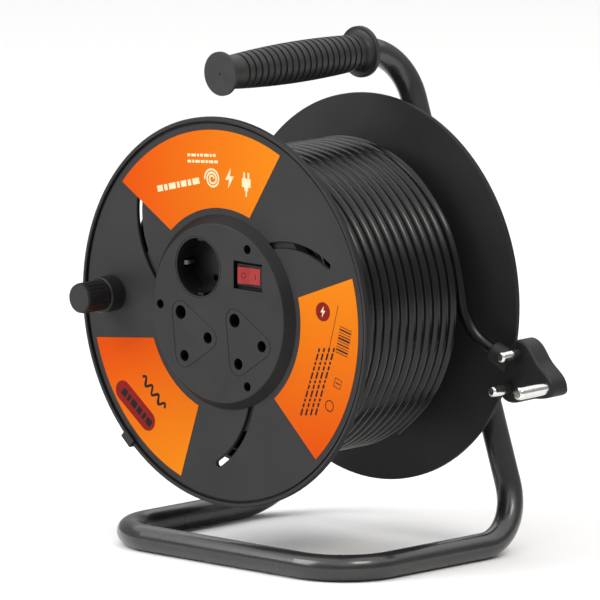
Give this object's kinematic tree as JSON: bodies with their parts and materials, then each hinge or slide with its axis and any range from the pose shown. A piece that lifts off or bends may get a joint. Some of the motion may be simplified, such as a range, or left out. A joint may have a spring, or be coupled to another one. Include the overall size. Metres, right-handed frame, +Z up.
{
  "type": "extension cord reel",
  "caption": "Cord reel on a bent tube stand: a crank-turned drum with a socket panel, wound round cord, ribbed carry grip and a round-pin plug.",
  "frame": {"origin": "on the floor under the middle of the reel, without its free cord and plug", "axes": "+Z up; the drum turns about an axis along Y, its socket panel faces -Y, and the crank knob is at -X"},
  "size_m": [0.3127, 0.223, 0.3518],
  "materials": {
    "stand_paint": "satin black powder coat",
    "grip_plastic": "matt, finely grained",
    "drum_plastic": "matt moulded polypropylene",
    "panel_plastic": "fine spark-eroded grain",
    "insert_plastic": "smooth black thermoset",
    "knob_plastic": "satin black",
    "bush_plastic": "natural acetal",
    "rocker_red": "translucent red, polished",
    "label_print": "printed film, orange",
    "cord_rubber": "smooth extruded jacket",
    "plug_rubber": "matt moulded rubber",
    "nickel": "nickel plated",
    "brass": "stamped",
    "zinc_steel": "zinc plated",
    "earth_insulation": "green and yellow",
    "neutral_insulation": "blue",
    "line_insulation": "brown"
  },
  "bodies": {
    "stand": {"frame_tube": "stand_paint", "handle_grip": "grip_plastic", "axle_bracket": "stand_paint", "bracket_screws": "zinc_steel", "axle": "zinc_steel", "saddle_washer": "zinc_steel", "axle_nut": "zinc_steel", "axle_spacer": "bush_plastic", "axle_washer": "zinc_steel", "snap_ring": "zinc_steel", "cord_tail": "cord_rubber", "plug_boot": "plug_rubber", "plug_body": "plug_rubber", "plug_line_pin": "nickel", "plug_neutral_pin": "nickel", "plug_earth_pin": "nickel", "plug_pin_sleeves": "plug_rubber"},
    "drum": {"front_flange": "drum_plastic", "drum_core": "drum_plastic", "rear_flange": "drum_plastic", "rear_hub": "drum_plastic", "core_screws_front": "zinc_steel", "core_screws_rear": "zinc_steel", "hub_bushes": "bush_plastic", "hub_screws": "zinc_steel", "hub_nuts": "zinc_steel", "crank_collar": "drum_plastic", "crank_pin": "zinc_steel", "crank_nut": "zinc_steel", "rim_hook": "drum_plastic", "socket_panel": "panel_plastic", "panel_screws": "zinc_steel", "schuko_insert": "insert_plastic", "schuko_contacts": "brass", "schuko_earth_clips": "nickel", "socket_carrier_left": "insert_plastic", "socket_carrier_right": "insert_plastic", "socket_contacts": "brass", "earth_bar": "brass", "neutral_bar": "brass", "line_bar": "brass", "switch_housing": "insert_plastic", "switch_terminals": "brass", "label_top": "label_print", "label_right": "label_print", "label_left": "label_print", "cord_inner_end": "cord_rubber", "cord_clamp": "insert_plastic", "clamp_screws": "zinc_steel", "earth_wire": "earth_insulation", "neutral_wires": "neutral_insulation", "line_wires": "line_insulation", "cord_winding": "cord_rubber"},
    "crank": {"crank_knob": "knob_plastic", "knob_cap": "knob_plastic"},
    "rocker": {"rocker_button": "rocker_red"}
  },
  "joints": [
    {"name": "drum_spin", "type": "hinge", "parent": "stand", "child": "drum", "pos_m": [0, -0.0053, 0.1722], "axis": [0, 1, 0], "continuous": true},
    {"name": "knob_spin", "type": "hinge", "parent": "drum", "child": "crank", "pos_m": [-0.1046, -0.1003, 0.1733], "axis": [0, 1, 0], "continuous": true},
    {"name": "switch_rock", "type": "hinge", "parent": "drum", "child": "rocker", "pos_m": [0.0275, -0.0808, 0.2005], "axis": [0, 0, -1], "range_deg": [0, 16]}
  ]
}
